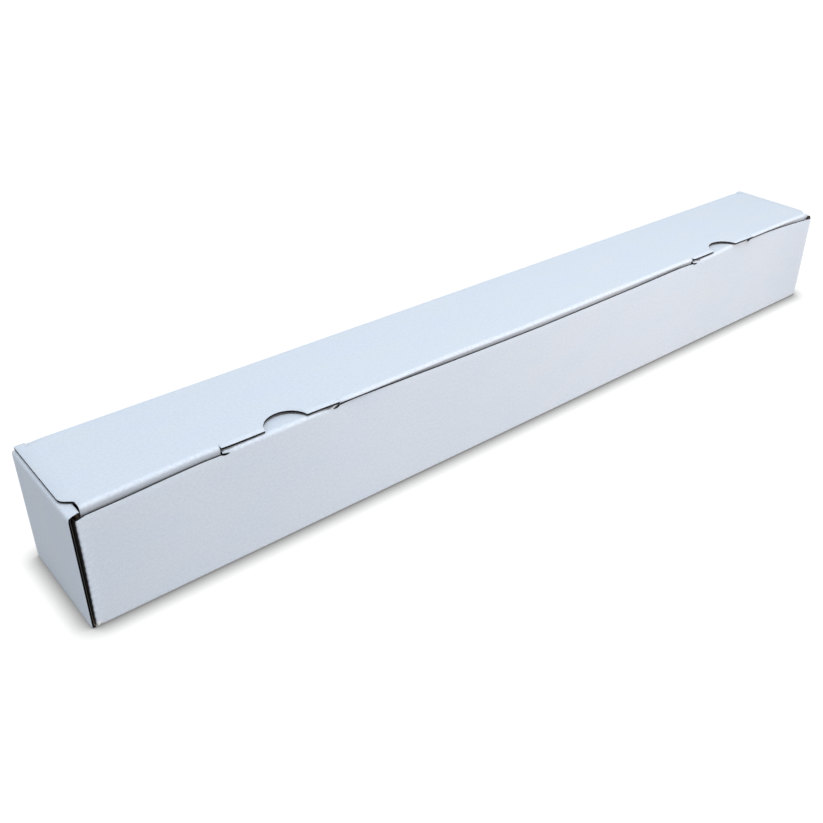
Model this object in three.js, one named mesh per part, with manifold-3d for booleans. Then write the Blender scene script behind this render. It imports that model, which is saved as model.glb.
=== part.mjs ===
// A long, slim mailing box, one folded sheet of corrugated board, white outside. Sizes are in millimetres.
// The long axis is X, the front wall faces -Y, the lid is hinged on the back edge at +Y, and Z is up.
// The origin is on the table, under the middle of the box.

import * as THREE from 'three';
import { mergeVertices } from 'three/addons/utils/BufferGeometryUtils.js';
import Module from 'manifold-3d';

const wasm = await Module();
wasm.setup();

// Driving dimensions of the box
const boxLength = 980;         // over the outer faces of the two end panels
const boxDepth = 112;          // over the outer faces of the front and back walls
const rollHeight = 108;        // from the table to the tops of the rolled ends
const board = 2.8;             // thickness of the corrugated board
const foldRadius = 3.2;        // outer radius of a crease
const seatGap = 0.3;           // air between faces that rest on or beside each other

// Driving dimensions of the rolled ends
const rollWidth = 11;          // over the outer and the inner end panel
const rollTaper = 2.2;         // how far the roll has narrowed at its inner crease, on each side
const endSlack = 1.2;          // air between an outer end panel and the corner flaps behind it
const sideSlack = 0.6;         // air between an inner end panel and the long walls
const footWidth = 24;          // each of the two feet of an inner end panel
const footSpacing = 50;        // between the middles of those feet
const footSlack = 0.5;         // air round a foot in its slot

// Driving dimensions of the corner flaps, which fold in from the long walls
const flapReach = 50;          // from the outer face of the wall to the free edge
const flapClearance = 1;       // air between the flap and the bottom
const flapTaper = 2.5;         // how far the flap has narrowed at its free edge, above and below
const flapCorner = 6;          // radius of the free corners

// Driving dimensions of the lid
const lidInset = 2.6;          // from the outer end panel to the lid's side edge
const cornerCutLength = 20;    // from the front wall to where the lid's corner is cut away
const cornerCutSlant = 7;      // how much of that length is slanted
const tuckClearance = 0.9;     // air between the tuck flap and the inner end panel
const tuckDepth = 34;          // from the lid's top to the flap's free edge
const tuckCorner = 9;          // radius of the flap's free corners
const swingClearance = 0.7;    // air between the swinging flap and the front wall

// Driving dimensions of the two tab locks
const lockInset = 186;         // from the end of the box to the middle of a lock
const lipWidth = 114;          // the straight lip of the lid over a tab
const lipSetback = 2;          // from the front wall's outer face to the lip's edge
const notchWidth = 42;         // chord of the half-moon thumb notch, on the lip's edge
const notchDepth = 18;         // from the lip's edge to the top of the half moon
const tabWidth = 107;          // the tab that folds in from the front wall
const tabReach = 30;           // from the front wall's outer face to the tab's free edge
const tabDroop = 4;            // slope of the tab away from the lid, in degrees
const tabCorner = 8;           // radius of the tab's free corners
const reliefWidth = 8;         // the shallow hollow in the front wall's top at each end of a tab
const reliefDepth = 1.8;       // how far that hollow goes down

// Finish of the board's outer face
const boardFinish = { color: 0xe3e7ea, roughness: 0.8, metalness: 0 };

// Fineness of the round forms, and how far a cutting solid runs past what it cuts
const roundSteps = 6;
const swingSteps = 8;
const notchSteps = 24;
const overrun = 5;

// Places that follow from the driving dimensions
const endX = boxLength / 2;
const wallY = boxDepth / 2;
const wallInnerY = wallY - board;
const flapFaceX = endX - board - endSlack;
const innerEndX = endX - rollWidth;
const rollUnderside = rollHeight - board;
const wallTop = rollUnderside - seatGap;
const lidUnderside = rollHeight + seatGap;
const lidTop = lidUnderside + board;
const hingeY = wallY - board / 2;
const hingeZ = lidTop - board / 2;
const lockX = endX - lockInset;
const lipEdgeY = -wallY + lipSetback;
const tuckEndX = innerEndX - tuckClearance;

// The tuck flap follows the circle round the hinge that just clears the front wall's inner top edge.
const swingRadius = Math.hypot(hingeY + wallInnerY, hingeZ - wallTop) - swingClearance;
const creaseZ = lidTop - foldRadius;
const creaseY = hingeY - Math.sqrt((swingRadius - foldRadius) ** 2 - (creaseZ - hingeZ) ** 2);
const tuckTopAngle = Math.PI + Math.asin((hingeZ - creaseZ) / (swingRadius - foldRadius));
const tuckEndAngle = Math.PI + Math.asin((hingeZ - lidTop + tuckDepth) / swingRadius);

// Points on a circle, from one angle to another.
function arc(centreX, centreY, radius, from, to, steps = roundSteps) {
  return Array.from({ length: steps + 1 }, (_, i) => {
    const angle = from + (to - from) * i / steps;
    return [centreX + radius * Math.cos(angle), centreY + radius * Math.sin(angle)];
  });
}

// The radius of the circle that bows by depth over a chord.
function bowRadius(chord, depth) {
  return (chord ** 2 / 4 + depth ** 2) / (2 * depth);
}

// A closed outline through corners. The third number of a corner is the radius that rounds it.
function outline(corners) {
  const points = corners.flatMap(([x, y, radius = 0], i) => {
    const corner = new THREE.Vector2(x, y);
    if (radius === 0) return [corner];
    const towards = ([otherX, otherY]) => new THREE.Vector2(otherX - x, otherY - y).normalize();
    const back = towards(corners.at(i - 1));
    const ahead = towards(corners[(i + 1) % corners.length]);
    const half = Math.acos(back.dot(ahead)) / 2;
    const middle = back.clone().add(ahead).normalize();
    const centre = corner.clone().addScaledVector(middle, radius / Math.sin(half));
    const start = corner.clone().addScaledVector(back, radius / Math.tan(half)).sub(centre).angle();
    const turn = Math.sign(ahead.cross(back)) * (Math.PI - 2 * half);
    return arc(centre.x, centre.y, radius, start, start + turn).map((xy) => new THREE.Vector2(...xy));
  });
  return new THREE.Shape(points);
}

// The section of a strip of board whose outer face runs through corners and turns left at each one.
// The board lies on the left of that path, and every corner on the way is a crease.
function foldedStrip(corners) {
  const points = corners.map((xy) => new THREE.Vector2(...xy));
  const lefts = points.slice(1).map((to, i) => {
    const along = to.clone().sub(points[i]).normalize();
    return new THREE.Vector2(-along.y, along.x);
  });
  const inner = points.map((corner, i) => {
    const before = lefts[Math.max(i - 1, 0)];
    const after = lefts[Math.min(i, lefts.length - 1)];
    return corner.clone().addScaledVector(before.clone().add(after), board / (1 + before.dot(after)));
  });
  const isEnd = (i) => i === 0 || i === corners.length - 1;
  return outline([
    ...points.map(({ x, y }, i) => [x, y, isEnd(i) ? 0 : foldRadius]),
    ...inner.map(({ x, y }, i) => [x, y, isEnd(i) ? 0 : foldRadius - board]).reverse(),
  ]);
}

// A rectangle, with its four corners rounded if a radius is given.
function plate(lowX, lowY, highX, highY, radius = 0) {
  return outline([
    [lowX, lowY, radius], [highX, lowY, radius], [highX, highY, radius], [lowX, highY, radius],
  ]);
}

function toSolid(geometry) {
  geometry.deleteAttribute('normal');
  geometry.deleteAttribute('uv');
  const merged = mergeVertices(geometry);
  return new wasm.Manifold(new wasm.Mesh({
    numProp: 3,
    vertProperties: new Float32Array(merged.attributes.position.array),
    triVerts: new Uint32Array(merged.index.array),
  }));
}

function drawnOut(shape, depth, placing) {
  const geometry = new THREE.ExtrudeGeometry(shape, { depth, bevelEnabled: false });
  return toSolid(geometry.applyMatrix4(placing));
}

// An outline in Y and Z, drawn out along X.
function alongX(shape, fromX, toX) {
  const placing = new THREE.Matrix4().set(0, 0, 1, fromX, 1, 0, 0, 0, 0, 1, 0, 0, 0, 0, 0, 1);
  return drawnOut(shape, toX - fromX, placing);
}

// An outline in X and Z, drawn out along Y.
function alongY(shape, fromY, toY) {
  const placing = new THREE.Matrix4().set(1, 0, 0, 0, 0, 0, -1, toY, 0, 1, 0, 0, 0, 0, 0, 1);
  return drawnOut(shape, toY - fromY, placing);
}

// An outline in X and Y, drawn out along Z.
function alongZ(shape, fromZ, toZ) {
  return drawnOut(shape, toZ - fromZ, new THREE.Matrix4().makeTranslation(0, 0, fromZ));
}

// The mirror image of a solid, across X = 0 where axis is 0 and across Y = 0 where it is 1.
function mirrored(solid, axis) {
  const { numProp, vertProperties, triVerts } = solid.getMesh();
  return new wasm.Manifold(new wasm.Mesh({
    numProp,
    vertProperties: vertProperties.map((value, i) => (i % numProp === axis ? -value : value)),
    triVerts: triVerts.map((_, i) => triVerts[i + 2 - 2 * (i % 3)]),
  }));
}

const joined = (solids) => solids.reduce((sum, solid) => sum.add(solid));
const without = (solid, cuts) => cuts.reduce((rest, cut) => rest.subtract(cut), solid);
const onBothEnds = (solid) => [solid, mirrored(solid, 0)];
const onBothSides = (solid) => [solid, mirrored(solid, 1)];

// The bottom and both long walls are one strip. The back wall carries the lid and is the higher one,
// and near the ends it drops to pass under the rolls.
function trough() {
  const reach = flapFaceX - foldRadius;
  const strip = alongX(foldedStrip([
    [-wallY, wallTop], [-wallY, 0], [wallY, 0], [wallY, rollHeight],
  ]), -reach, reach);
  const drop = alongZ(plate(innerEndX - seatGap, 0, endX, wallY + overrun), wallTop, lidTop);
  return without(strip, onBothEnds(drop));
}

// The corner flap at the front of the end at -X, with the upright crease that joins it to the wall.
function cornerFlap() {
  const low = board + flapClearance;
  const free = -wallY + flapReach;
  const strip = alongZ(foldedStrip([
    [-flapFaceX, free], [-flapFaceX, -wallY], [-flapFaceX + 2 * foldRadius, -wallY],
  ]), low, wallTop);
  const face = outline([
    [-wallY - overrun, low], [-wallY + foldRadius, low],
    [free, low + flapTaper, flapCorner], [free, wallTop - flapTaper, flapCorner],
    [-wallY + foldRadius, wallTop], [-wallY - overrun, wallTop],
  ]);
  return strip.intersect(alongX(face, -endX, 0));
}

// The rolled end at -X is one strip: the inner panel, the roll over the corner flaps, the outer panel
// and a stretch of the bottom. The inner panel is narrower, to go down between the long walls.
function rolledEnd() {
  const innerX = -innerEndX;
  const rootX = -flapFaceX + foldRadius + overrun;
  const strip = alongY(foldedStrip([
    [innerX, board + seatGap], [innerX, rollHeight], [-endX, rollHeight], [-endX, 0], [rootX, 0],
  ]), -wallY, wallY);
  const innerWidthY = wallInnerY - sideSlack;
  const outerCreaseX = -endX + foldRadius;
  const innerCreaseX = innerX - foldRadius;
  const taper = alongZ(outline([
    [outerCreaseX, -wallY - overrun], [innerX + overrun, -wallY - overrun],
    [innerX + overrun, -innerWidthY], [innerCreaseX, -innerWidthY],
    [innerCreaseX, -wallY + rollTaper], [outerCreaseX, -wallY],
  ]), board, lidTop);
  const root = alongZ(plate(
    -flapFaceX, -wallY - overrun, rootX + overrun, -wallY + foldRadius), -overrun, board + seatGap);
  return without(strip, [...onBothSides(taper), ...onBothSides(root)]);
}

// Both feet of the inner panel at -X, or with some air round them their slots in the bottom.
function feet(lowZ, highZ, air = 0) {
  const highX = -innerEndX + air;
  const reach = footWidth / 2 + air;
  return [-footSpacing / 2, footSpacing / 2].map((middle) => alongZ(
    plate(highX - board - 2 * air, middle - reach, highX, middle + reach), lowZ, highZ));
}

// The lock tab on the -X half, a folded strip that grows out of the front wall.
function lockTab() {
  const free = -wallY + tabReach;
  const tabTop = lidUnderside - seatGap;
  const drop = Math.tan(tabDroop * Math.PI / 180) * tabReach;
  const lowX = -lockX - tabWidth / 2;
  const highX = -lockX + tabWidth / 2;
  const strip = alongX(foldedStrip([
    [free, tabTop - drop], [-wallY, tabTop], [-wallY, wallTop - reliefDepth],
  ]), lowX, highX);
  const face = outline([
    [lowX, -wallY - overrun], [highX, -wallY - overrun],
    [highX, free, tabCorner], [lowX, free, tabCorner],
  ]);
  return strip.intersect(alongZ(face, 0, lidTop));
}

// The hollows in the front wall beside that tab. Each one is bowed downward like a lens.
function reliefCuts() {
  const reach = (tabWidth + reliefWidth) / 2;
  const radius = bowRadius(reliefWidth, reliefDepth);
  const half = Math.asin(reliefWidth / 2 / radius);
  return [-lockX - reach, -lockX + reach].map((middle) => alongY(outline([
    ...arc(middle, wallTop - reliefDepth + radius, radius, -Math.PI / 2 - half, -Math.PI / 2 + half),
    [middle + reliefWidth / 2, lidTop], [middle - reliefWidth / 2, lidTop],
  ]), -wallY - overrun, 0));
}

function makeTray() {
  const folded = joined([
    trough(),
    ...onBothEnds(rolledEnd()),
    ...onBothEnds(joined(onBothSides(cornerFlap()))),
    ...onBothEnds(lockTab()),
  ]);
  const slots = joined(feet(-overrun, board + seatGap / 2, footSlack));
  const cuts = joined([slots, ...reliefCuts()]);
  const bothFeet = joined(feet(seatGap, board + 2 * seatGap));
  return joined([without(folded, onBothEnds(cuts)), ...onBothEnds(bothFeet)]);
}

// The lid panel, with its back edge rounded about the hinge and its front corners cut away.
function lidPanel() {
  const sideX = endX - lidInset;
  const cutY = -wallY + cornerCutLength;
  const half = [
    [sideX, hingeY], [sideX, cutY], [tuckEndX, cutY - cornerCutSlant], [tuckEndX, creaseY],
  ];
  const otherHalf = half.map(([x, y]) => [-x, y]).reverse();
  const back = outline(arc(hingeY, hingeZ, board / 2, -Math.PI / 2, Math.PI / 2));
  return alongZ(outline([...half, ...otherHalf]), lidUnderside, lidTop).add(alongX(back, -sideX, sideX));
}

// The tuck flap with its crease, bowed along the circle on which it swings.
function tuckFlap() {
  const section = outline([
    ...arc(creaseY, creaseZ, foldRadius, Math.PI / 2, tuckTopAngle),
    ...arc(hingeY, hingeZ, swingRadius, tuckTopAngle, tuckEndAngle, swingSteps).slice(1),
    ...arc(hingeY, hingeZ, swingRadius - board, tuckEndAngle, tuckTopAngle, swingSteps),
    ...arc(creaseY, creaseZ, foldRadius - board, tuckTopAngle, Math.PI / 2).slice(1),
  ]);
  const low = lidTop - tuckDepth;
  const face = outline([
    [-tuckEndX, low, tuckCorner], [tuckEndX, low, tuckCorner],
    [tuckEndX, lidTop + overrun], [-tuckEndX, lidTop + overrun],
  ]);
  return alongX(section, -tuckEndX, tuckEndX).intersect(alongY(face, -wallY, 0));
}

// The way through the tuck flap for the tab on the -X half, open at the bottom.
function tabWay() {
  const outY = -wallY - overrun;
  return alongX(outline([
    [outY, 0], [-wallY + tabReach, 0], [-wallY + tabReach, lidUnderside],
    [creaseY, lidUnderside], [creaseY, lidTop + overrun], [outY, lidTop + overrun],
  ]), -lockX - lipWidth / 2, -lockX + lipWidth / 2);
}

// The lip over that tab, and the half-moon thumb notch in it.
function lip() {
  return alongZ(
    plate(-lockX - lipWidth / 2, lipEdgeY, -lockX + lipWidth / 2, creaseY), lidUnderside, lidTop);
}

function thumbNotch() {
  const radius = bowRadius(notchWidth, notchDepth);
  const centreY = lipEdgeY + notchDepth - radius;
  const moon = outline(arc(-lockX, centreY, radius, 0, 2 * Math.PI, notchSteps).slice(1));
  return alongZ(moon, lidUnderside - overrun, lidTop + overrun);
}

function makeLid() {
  const folded = without(lidPanel().add(tuckFlap()), onBothEnds(tabWay()));
  return without(joined([folded, ...onBothEnds(lip())]), onBothEnds(thumbNotch()));
}

function meshOf(name, solid) {
  const { vertProperties, triVerts } = solid.getMesh();
  const geometry = new THREE.BufferGeometry();
  geometry.setAttribute('position', new THREE.BufferAttribute(vertProperties, 3));
  geometry.setIndex(new THREE.BufferAttribute(triVerts, 1));
  geometry.computeVertexNormals();
  const mesh = new THREE.Mesh(geometry, new THREE.MeshStandardMaterial(boardFinish));
  mesh.name = name;
  return mesh;
}

const shippingBox = new THREE.Group();
shippingBox.add(meshOf('tray', makeTray()), meshOf('lid', makeLid()));

export default shippingBox;
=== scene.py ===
"""Dresses the long corrugated mailing box: fluted board in three layers, its finish, light and camera.

Lengths are millimetres in the box's own frame, and are turned into metres when a mesh is made.
The board is laid out flat, u along the flutes and v across them, and then folded into place. A third
number, w, is the depth from the white outer face into the board.
"""

import math

import bpy
import numpy as np
from mathutils import Matrix, Vector
from mathutils.geometry import delaunay_2d_cdt


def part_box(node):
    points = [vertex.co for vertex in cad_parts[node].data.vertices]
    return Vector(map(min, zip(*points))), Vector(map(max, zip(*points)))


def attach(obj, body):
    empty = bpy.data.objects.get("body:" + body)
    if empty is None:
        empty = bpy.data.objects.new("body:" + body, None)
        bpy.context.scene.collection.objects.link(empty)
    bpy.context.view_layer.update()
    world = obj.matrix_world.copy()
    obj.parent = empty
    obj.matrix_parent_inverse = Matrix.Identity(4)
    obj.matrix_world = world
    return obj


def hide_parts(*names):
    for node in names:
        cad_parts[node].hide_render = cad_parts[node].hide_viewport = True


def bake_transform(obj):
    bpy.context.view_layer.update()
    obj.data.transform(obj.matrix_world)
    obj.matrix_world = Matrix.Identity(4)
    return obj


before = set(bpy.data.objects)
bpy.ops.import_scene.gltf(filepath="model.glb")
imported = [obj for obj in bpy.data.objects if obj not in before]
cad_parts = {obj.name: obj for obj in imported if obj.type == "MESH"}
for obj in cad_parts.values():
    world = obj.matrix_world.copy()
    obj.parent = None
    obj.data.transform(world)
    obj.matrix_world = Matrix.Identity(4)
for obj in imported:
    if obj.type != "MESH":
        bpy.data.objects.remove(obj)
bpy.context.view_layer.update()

METRE = 0.001

tray_high = np.array(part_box("tray")[1]) / METRE
lid_high = np.array(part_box("lid")[1]) / METRE

# Sizes of the folded box. Most are the solids' own, and small forms follow the photograph more closely
END_X = tray_high[0]
WALL_Y = tray_high[1]
ROLL_Z = tray_high[2]
LID_TOP = lid_high[2]
SIDE_X = lid_high[0]
BOARD = 2.8
FOLD_RADIUS = 3.2
SEAT_GAP = 0.3
ROLL_WIDTH = 11.0
ROLL_OUTER_RADIUS = 4.8
ROLL_INNER_RADIUS = 2.9
ROLL_TAPER = 2.2
END_SLACK = 1.2
SIDE_SLACK = 0.6
FOOT_WIDTH = 24.0
FOOT_SPACING = 50.0
FOOT_SLACK = 0.5
FLAP_REACH = 50.0
FLAP_CLEARANCE = 1.0
FLAP_TAPER = 2.5
FLAP_CORNER = 6.0
TUCK_CLEARANCE = 0.5
TUCK_DEPTH = 34.0
TUCK_CORNER = 9.0
SWING_CLEARANCE = 0.7
LOCK_INSET = 186.0
LIP_WIDTH = 114.0
LIP_SETBACK = 2.0
NOTCH_WIDTH = 41.0
NOTCH_DEPTH = 18.0
TAB_WIDTH = 113.2
TAB_REACH = 30.0
TAB_DROOP = math.radians(4)
TAB_CORNER = 8.0
RELIEF_WIDTH = 8.0
RELIEF_DEPTH = 1.3
RELIEF_UNDERCUT = 6.0          # how far the relief hollows reach under the ends of the tabs
TAB_EAR = 1.3                  # the side edges of a tab start this far above the wall's top
CUT_SLANT = 1.0                # half the length of the slanted cut at the foot of a corner flap

# Places that follow from them
FLAP_X = END_X - BOARD - END_SLACK
INNER_X = END_X - ROLL_WIDTH
WALL_TOP = ROLL_Z - BOARD - SEAT_GAP
LID_UNDERSIDE = LID_TOP - BOARD
HINGE_Y = WALL_Y - BOARD / 2
HINGE_Z = LID_TOP - BOARD / 2
LOCK_X = END_X - LOCK_INSET
LIP_Y = -WALL_Y + LIP_SETBACK
TUCK_X = INNER_X - TUCK_CLEARANCE
SWING_RADIUS = math.hypot(HINGE_Y + WALL_Y - BOARD, HINGE_Z - WALL_TOP) - SWING_CLEARANCE
CREASE_Z = LID_TOP - FOLD_RADIUS
CREASE_Y = HINGE_Y - math.sqrt((SWING_RADIUS - FOLD_RADIUS) ** 2 - (CREASE_Z - HINGE_Z) ** 2)
TUCK_TOP_ANGLE = math.pi + math.asin((HINGE_Z - CREASE_Z) / (SWING_RADIUS - FOLD_RADIUS))
TUCK_END_ANGLE = math.pi + math.asin((HINGE_Z - LID_TOP + TUCK_DEPTH) / SWING_RADIUS)

# The board: two liners, and a fluted core between them that lies back from the cut edges
LINER = 0.32
FLUTE_PITCH = 6.4
CORE = 0.22
CORE_RECESS = 1.8
CORE_CLEARANCE = 0.02
SEAM_REACH = 4.5               # the crease strip of the hinge covers this much on either side

# The strip over the lid's crease bends sharply in its middle, where no row of points lies, since half of a
# turn of 180 degrees could go either way. With this radius the white face passes close by the hinge's
# axis, and stays hidden when the lid is open.
HINGE_RADIUS = 4.8
HINGE_STEPS = 7                # an odd number, so that no row of points lies in the middle

# Relief of the faces: the flutes show through faintly and dent the creases that cross them, and the cut
# edges are squeezed thinner
WASHBOARD = 0.012
CREASE_DENT = 0.40
DENT_REACH = 4.5
CREASE_RIDGE = 0.5             # the outer liner stands out this much along a fold, which sharpens it
RIDGE_REACH = 2.4
END_DENTS = (0.25, 0.6, 0.6)   # dents along the folds of a rolled end, beside those of the upright folds
CRUSH_OUTSIDE = 0.55
CRUSH_INSIDE = 0.5
ROLL_CRUSH = 1.3               # how much more the rolls' front edges are squeezed from inside
TAB_CURL = 1.2                 # how far the white paper curls down over the ends of the lock tabs
CRUSH_REACH = 3.2

# Spacing of the mesh
LINER_STEP_U = 14.0
INNER_STEP_V = 9.0
CORE_STEP_U = 28.0
LINER_FLUTE_STEPS = 4
CORE_FLUTE_STEPS = 6
FOLD_STEPS = 8
CORNER_STEPS = 8
NOTCH_STEPS = 26
RING_INSETS = (0.9, 2.1)
RING_SHARE = 0.8               # free points keep this share of a ring's inset from the edges
CORE_MARGIN = 0.25
STRIP_MARGIN = 0.2
LINE_SHARE = 0.3               # a grid line nearer to a crease than this share of a step is left out
MITRE_LIMIT = 0.35
SHARP_ANGLE = math.radians(32)
SLIT = 0.3
STRIP_GAP = 0.05
TINY = 0.01

# The two ends are not quite alike. RECESS is how far an end panel's front edge lies behind the front
# wall, DROP how far the wall's top slopes down to the upright crease, and SHIFT how far the top of that
# crease lies inward. CUT is the cut at a front corner of the lid, and NOTCH_SHIFT moves a thumb notch
# outward in its lock. The feet of the upright creases are crushed down onto the table.
LEFT, RIGHT = -1, 1
FRONT, BACK = -1, 1
END_RECESS = {LEFT: 0.8, RIGHT: 3.8}
CORNER_SLOPE = 5.0
CORNER_DROP = {LEFT: 2.8, RIGHT: 0.6}
CREASE_SHIFT = {LEFT: 1.3, RIGHT: 0.0}
CREASE_SHIFT_LENGTH = 90.0
CRUSHED_DROP = 1.7
CRUSHED_HEIGHT = 12.0
CRUSHED_FADE = 1.2
CORNER_CUT_LENGTH = {LEFT: 20.0, RIGHT: 13.0}
CORNER_CUT_SLANT = {LEFT: 7.0, RIGHT: 5.0}
CORNER_CUT_RADIUS = 9.0
NOTCH_SHIFT = {LEFT: -3.5, RIGHT: 1.0}

# How the box has settled: places along X, and how far the board has moved inward there
WALL_LEAN = (
    (-490, 0.0), (-478, 0.4), (-445, 1.9), (-414, 4.2), (-378, 6.4), (-350, 5.2), (-300, 5.8),
    (-262, 6.6), (-238, 10.0), (-187, 8.8), (-131, 7.0), (-70, 5.6), (-8, 4.6), (63, 5.0), (140, 5.9),
    (228, 8.0), (255, 5.2), (285, 5.2), (330, 8.4), (375, 9.6), (400, 9.8), (436, 7.6), (472, 4.0),
    (490, 1.0),
)
LID_SHIFT = (
    (-490, 0.8), (-475, 1.6), (-413, 4.8), (-377, 6.8), (-350, 5.0), (-280, 5.6), (-246, 4.6),
    (-235, 3.4), (-184, 4.6), (-117, 5.4), (-27, 3.8), (100, 4.6), (235, 5.6), (251, 4.4), (285, 4.9),
    (323, 3.9), (357, 3.4), (400, 4.4), (450, 4.6), (490, 3.2),
)
SETTLE_BLUR = 18.0
LEAN_POWER = 1.3
LEAN_START = 10.0              # the tray leans only in front of this place along Y,
LEAN_FADE = 30.0               # and in full from so much further forward
LID_LEAN_Z = CREASE_Z + 1      # below this height the lid's front comes to lean as the wall does

# Colours of the paper, where it is worn or tinted, and the shade and highlights painted on it
WHITE_COOL = (0.782, 0.838, 0.912)
WHITE_NEUTRAL = (0.806, 0.846, 0.900)
WHITE_WARM_LOW = (0.80, 0.75, 0.71)
WHITE_TORN = (0.97, 0.97, 0.97)
KRAFT_PALE = (0.46, 0.31, 0.19)
KRAFT_DARK = (0.36, 0.235, 0.14)
KRAFT_FLECK = (0.20, 0.12, 0.07)
# painted shade: the kraft darkens towards its cut edges, for the shade in the narrow gaps
KRAFT_EDGE_SHADE = (0.15, 0.125, 0.10)
CREASE_PALE = 0.14             # how much lighter the white is along a fold, where its coating is worn, and a painted highlight there too
LONG_CREASE_REACH = 4.0
GAP_SHADE = (0.075, 0.080, 0.088)  # the white where it goes in behind an end panel, in deep shade
GAP_FADE = 1.6
WARM_LOW_HEIGHT = 2.2            # the white turns warm in patches up to this height above the table
TORN_CORNER = (-0.4835, -0.0558, 0.003)
TORN_REACH = 4.0
WHITE_GRAIN = 0.06             # depth of the papers' fine relief
KRAFT_GRAIN = 0.05
RAW_GRAIN = 0.1

# Light, as shares of a plain level of 1
SKY_COLOUR = (0.93, 1.0, 1.08)
SKY_STRENGTH = 0.55
FLOOR_ALBEDO = (0.58, 0.56, 0.55)
FLOOR_GLOW = 0.97              # how bright the floor shows by itself, and how much of its light it adds
FLOOR_LIT = 0.08
FLOOR_CLOSE = 0.27             # the share that is left where no more than this part of the sky is free
FLOOR_NARROW = 0.45
CONTACT_REACH = 0.018          # metres over which it darkens towards the box
CONTACT_SAMPLES = 16
FLOOR_REACH = 30.0
FLOOR_DROP = 0.0002


def arc_points(centre_u, centre_v, radius, start, end, steps):
    angles = np.linspace(start, end, steps + 1)
    return [(centre_u + radius * math.cos(a), centre_v + radius * math.sin(a)) for a in angles]


def rounded(corners):
    """A list of points through corners (u, v) or (u, v, radius)."""
    points = []
    for i, (u, v, *rest) in enumerate(corners):
        if not rest:
            points.append((u, v))
            continue
        radius = rest[0]
        corner = Vector((u, v))
        back = (Vector(corners[i - 1][:2]) - corner).normalized()
        ahead = (Vector(corners[(i + 1) % len(corners)][:2]) - corner).normalized()
        half = math.acos(max(-1.0, min(1.0, back.dot(ahead)))) / 2
        centre = corner + (back + ahead).normalized() * (radius / math.sin(half))
        start = corner + back * (radius / math.tan(half)) - centre
        turn = math.copysign(math.pi - 2 * half, ahead.x * back.y - ahead.y * back.x)
        first = math.atan2(start.y, start.x)
        points += arc_points(centre.x, centre.y, radius, first, first + turn, CORNER_STEPS)
    return points


class Path:
    """The outer face of a folded strip, through corners, turning left with a crease at each one."""

    def __init__(self, corners, radii=(FOLD_RADIUS, FOLD_RADIUS, FOLD_RADIUS)):
        self.pieces = []
        points = [np.array(corner, float) for corner in corners]
        along = [(b - a) / np.linalg.norm(b - a) for a, b in zip(points, points[1:])]
        self.creases = []
        at = 0.0
        begin = points[0]
        for i in range(1, len(points)):
            before = along[i - 1]
            if i < len(points) - 1:
                after = along[i]
                radius = radii[i - 1]
                turn = math.acos(float(np.clip(before @ after, -1, 1)))
                back = radius * math.tan(turn / 2)
                stop = points[i] - before * back
            else:
                turn = 0.0
                stop = points[i]
            length = float(np.linalg.norm(stop - begin))
            self.pieces.append((at, at + length, "line", begin, before, 0.0))
            at += length
            if turn:
                left = np.array([-before[1], before[0]])
                centre = stop + left * radius
                first = math.atan2(-left[1], -left[0])
                self.pieces.append((at, at + radius * turn, "arc", centre, first, radius))
                self.creases.append((at, at + radius * turn))
                at += radius * turn
                begin = points[i] + after * back
        self.length = at

    def at(self, s):
        """Positions and inward normals at distances s, both as arrays of (first, second)."""
        s = np.asarray(s, float)
        place = np.zeros(s.shape + (2,))
        normal = np.zeros(s.shape + (2,))
        for i, (low, high, kind, base, way, radius) in enumerate(self.pieces):
            inside = s >= low - 1e-9 if i else np.ones(s.shape, bool)
            if kind == "line":
                place[inside] = base + (s[inside] - low)[..., None] * way
                normal[inside] = (-way[1], way[0])
            else:
                angle = way + (s[inside] - low) / radius
                ray = np.stack([np.cos(angle), np.sin(angle)], -1)
                place[inside] = base + radius * ray
                normal[inside] = -ray
        return place, normal

    def reach(self, index, distance):
        """How far along the path the straight stretch number index is when it has gone distance."""
        straight = [piece for piece in self.pieces if piece[2] == "line"][index]
        return straight[0] + distance

    def crease_lines(self, steps=FOLD_STEPS):
        return [low + (high - low) * k / steps for low, high in self.creases for k in range(steps + 1)]


# The paths that the sheet takes: up the walls, round the corner flaps, over the rolled ends.
# Each one starts in the middle of the box and runs outward.
TAB_TOP = LID_UNDERSIDE - SEAT_GAP
front_path = Path([
    (0, 0), (WALL_Y, 0), (WALL_Y, TAB_TOP),
    (WALL_Y - TAB_REACH, TAB_TOP - TAB_REACH * math.tan(TAB_DROOP)),
])
back_path = Path([(0, 0), (WALL_Y, 0), (WALL_Y, ROLL_Z)])
corner_path = Path([(0, 0), (FLAP_X, 0), (FLAP_X, FLAP_REACH)])
end_path = Path([
    (0, 0), (END_X, 0), (END_X, ROLL_Z), (INNER_X, ROLL_Z), (INNER_X, SEAT_GAP),
], (FOLD_RADIUS, ROLL_OUTER_RADIUS, ROLL_INNER_RADIUS))
CORNER_MIDDLE = sum(corner_path.creases[0]) / 2
ROLL_MIDDLE = (end_path.creases[1][1] + end_path.creases[2][0]) / 2


def wall_v(z):
    """Flat distance from the middle of the bottom to height z on a long wall."""
    return front_path.reach(1, z - FOLD_RADIUS)


def flap_u(inward):
    """Flat distance from the middle of a wall to a point that far in on its corner flap."""
    return corner_path.reach(1, inward - FOLD_RADIUS)


def panel_u(z):
    """Flat distance from the middle of the bottom to height z on an outer end panel."""
    return end_path.reach(1, z - FOLD_RADIUS)


def inner_u(z):
    """Flat distance from the middle of the bottom to height z on an inner end panel."""
    return end_path.reach(3, ROLL_Z - ROLL_INNER_RADIUS - z)


def smooth(t):
    t = np.clip(t, 0, 1)
    return t * t * (3 - 2 * t)


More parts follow.
